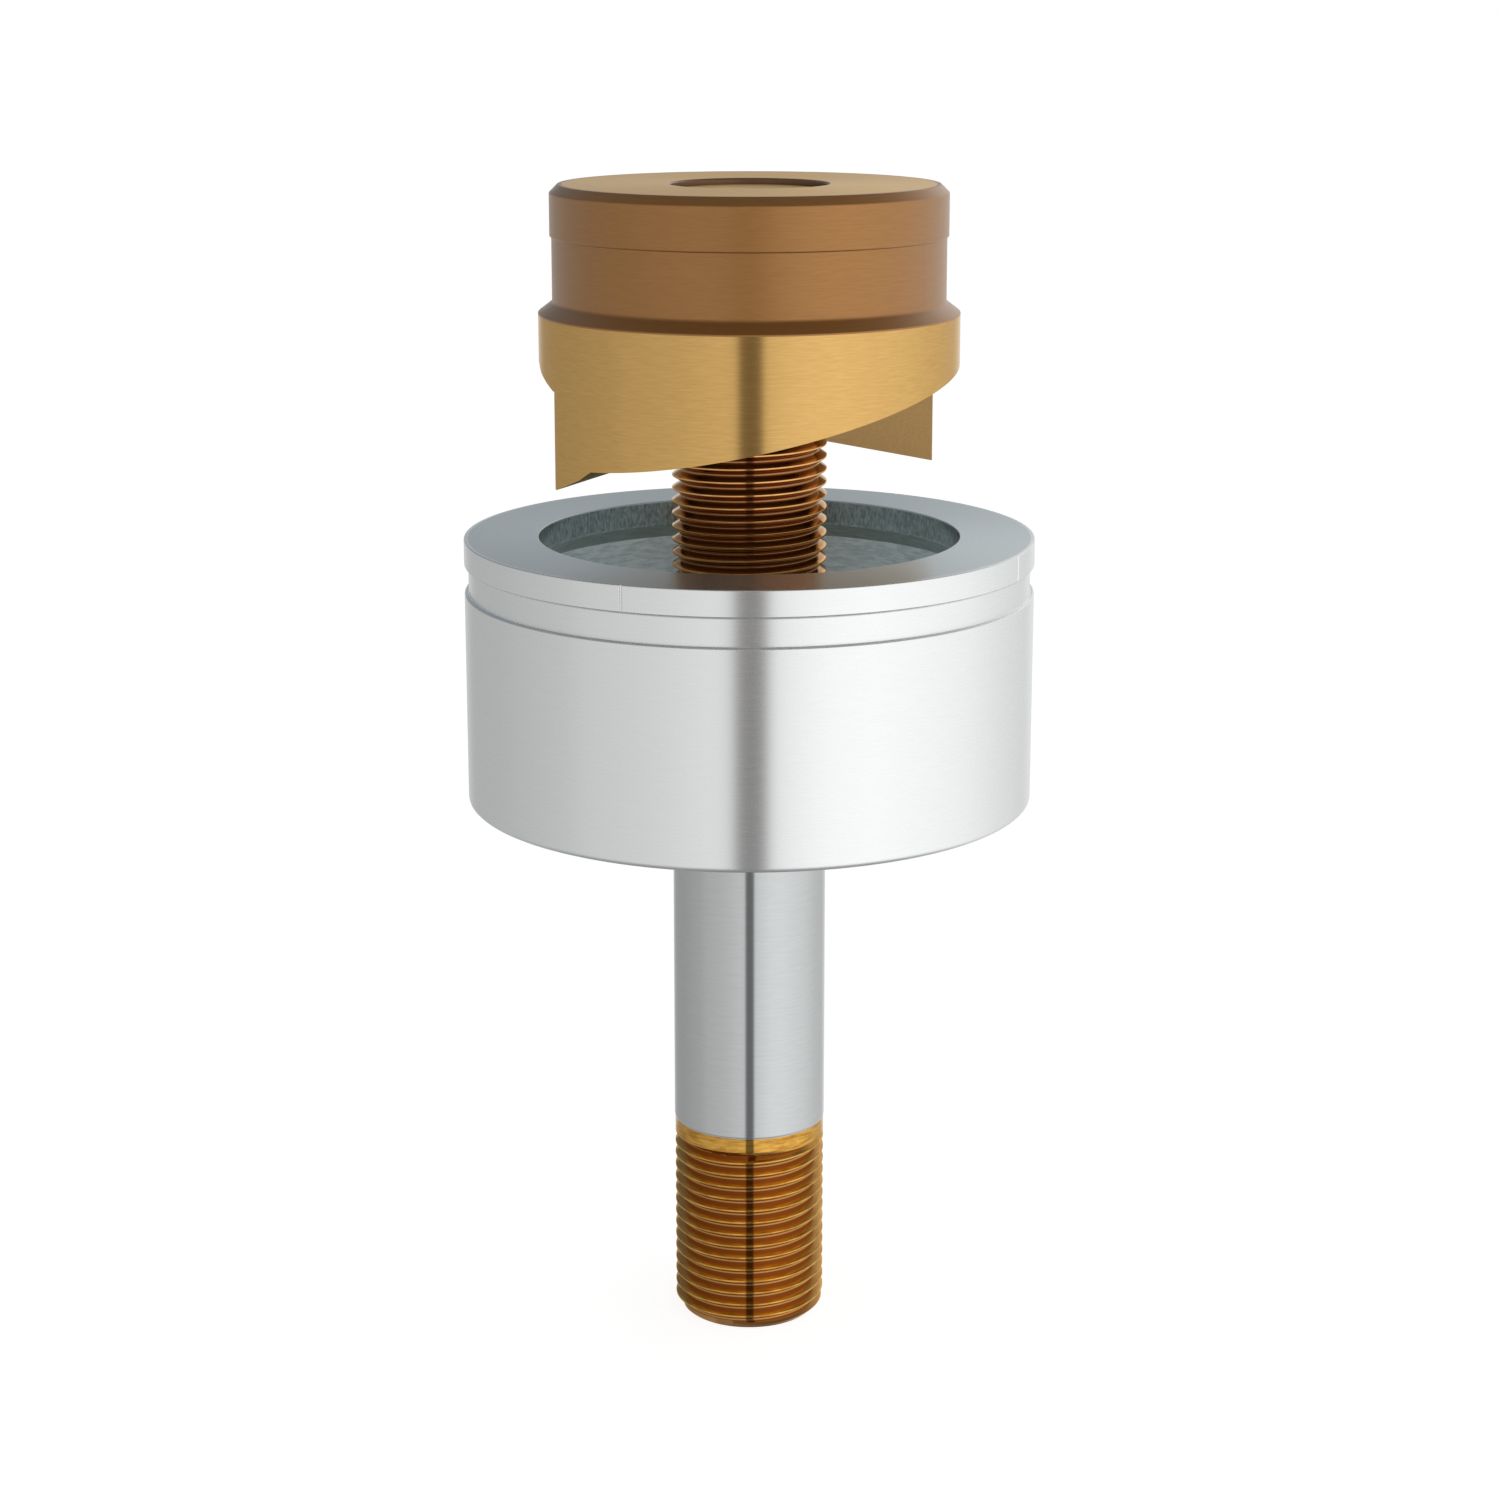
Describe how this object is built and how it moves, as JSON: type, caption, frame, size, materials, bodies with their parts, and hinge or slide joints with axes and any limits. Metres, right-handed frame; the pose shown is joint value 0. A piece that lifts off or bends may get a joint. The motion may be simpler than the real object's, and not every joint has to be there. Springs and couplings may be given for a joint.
{
  "type": "knockout punch",
  "caption": "Hole punch set: a two-lobed slug-cutting punch screwed on a draw stud, above a cup-shaped die that slides on the stud.",
  "frame": {"origin": "on the stud's axis, where the full diameter of its lower threaded end begins", "axes": "+Z along the stud towards the punch, -Y towards the viewer of the picture"},
  "size_m": [0.0697, 0.0696, 0.1435],
  "materials": {
    "ground_steel": "ground bar, with threaded ends coated gold-bronze",
    "satin_steel": "fine turned, bright satin plate",
    "gold_coated_steel": "fine turned, gold-bronze hard coating"
  },
  "bodies": {
    "draw_stud": {"draw_stud": "ground_steel"},
    "die": {"die": "satin_steel"},
    "punch": {"punch": "gold_coated_steel"}
  },
  "joints": [
    {"name": "die_slide", "type": "slide", "parent": "draw_stud", "child": "die", "axis": [0, 0, 1], "range_m": [0, 0.0298]},
    {"name": "punch_turn", "type": "hinge", "parent": "draw_stud", "child": "punch", "pos_m": [0, 0, 0.1], "axis": [0, 0, 1], "continuous": true}
  ]
}
